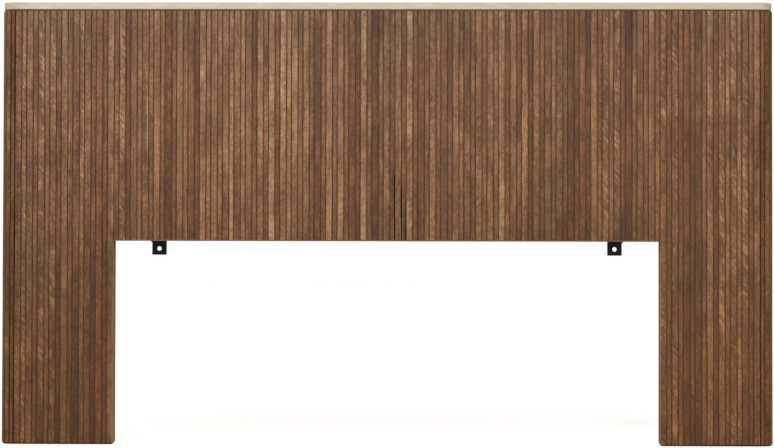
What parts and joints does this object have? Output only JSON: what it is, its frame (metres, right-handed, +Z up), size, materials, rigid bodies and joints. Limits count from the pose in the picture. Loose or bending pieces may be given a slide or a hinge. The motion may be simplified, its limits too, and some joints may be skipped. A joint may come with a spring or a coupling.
{
  "type": "slatted headboard",
  "caption": "Wide floor-standing headboard of upright brown timber slats that wrap round its outer corners, with a pale cap, two legs and steel bed brackets.",
  "frame": {"origin": "on the floor, at the middle of the headboard's plan", "axes": "+X along the headboard, to the right of someone who faces its slats; +Y from the slatted face to the back; +Z up"},
  "size_m": [2.08, 0.051, 1.19],
  "materials": {
    "slat_timber": "brown reclaimed hardwood, matt oil",
    "lipping_timber": "the slats' timber as a flat board, matt oil",
    "cap_timber": "pale washed oak, matt",
    "dark_spacer": "board stained dark brown",
    "back_board": "veneered board, matt",
    "backing_board": "board stained dark brown where the grooves show it",
    "frame_timber": "planed softwood",
    "tenon_timber": "beech",
    "black_base": "matt black",
    "black_steel": "matt black powder coat"
  },
  "bodies": {
    "root": {"bottom_rail": "frame_timber", "bracket_screws": "black_steel", "cap_tenons": "tenon_timber", "centre_back_panel": "back_board", "centre_backing": "backing_board", "centre_slats_01": "slat_timber", "centre_slats_02": "slat_timber", "centre_slats_03": "slat_timber", "centre_slats_04": "slat_timber", "centre_slats_05": "slat_timber", "centre_slats_06": "slat_timber", "centre_slats_07": "slat_timber", "centre_slats_08": "slat_timber", "centre_slats_09": "slat_timber", "centre_slats_10": "slat_timber", "centre_slats_11": "slat_timber", "centre_slats_12": "slat_timber", "gap_spacer": "dark_spacer", "left_base_plate": "black_base", "left_bracket": "black_steel", "left_corner_post": "frame_timber", "left_corner_slats": "slat_timber", "left_inner_post": "frame_timber", "left_leg_back_panel": "back_board", "left_leg_backing": "backing_board", "left_leg_bottom_rail": "frame_timber", "left_leg_facing": "lipping_timber", "left_leg_middle_rail": "frame_timber", "left_leg_slats_1": "slat_timber", "left_leg_slats_2": "slat_timber", "left_leg_slats_3": "slat_timber", "left_side_slat": "slat_timber", "right_base_plate": "black_base", "right_bracket": "black_steel", "right_corner_post": "frame_timber", "right_corner_slats": "slat_timber", "right_inner_post": "frame_timber", "right_leg_back_panel": "back_board", "right_leg_backing": "backing_board", "right_leg_bottom_rail": "frame_timber", "right_leg_facing": "lipping_timber", "right_leg_middle_rail": "frame_timber", "right_leg_slats_1": "slat_timber", "right_leg_slats_2": "slat_timber", "right_leg_slats_3": "slat_timber", "right_side_slat": "slat_timber", "stud_1": "frame_timber", "stud_2": "frame_timber", "stud_3": "frame_timber", "stud_4": "frame_timber", "stud_5": "frame_timber", "top_cap": "cap_timber", "top_rail": "frame_timber", "underside_lipping": "lipping_timber"}
  },
  "joints": []
}
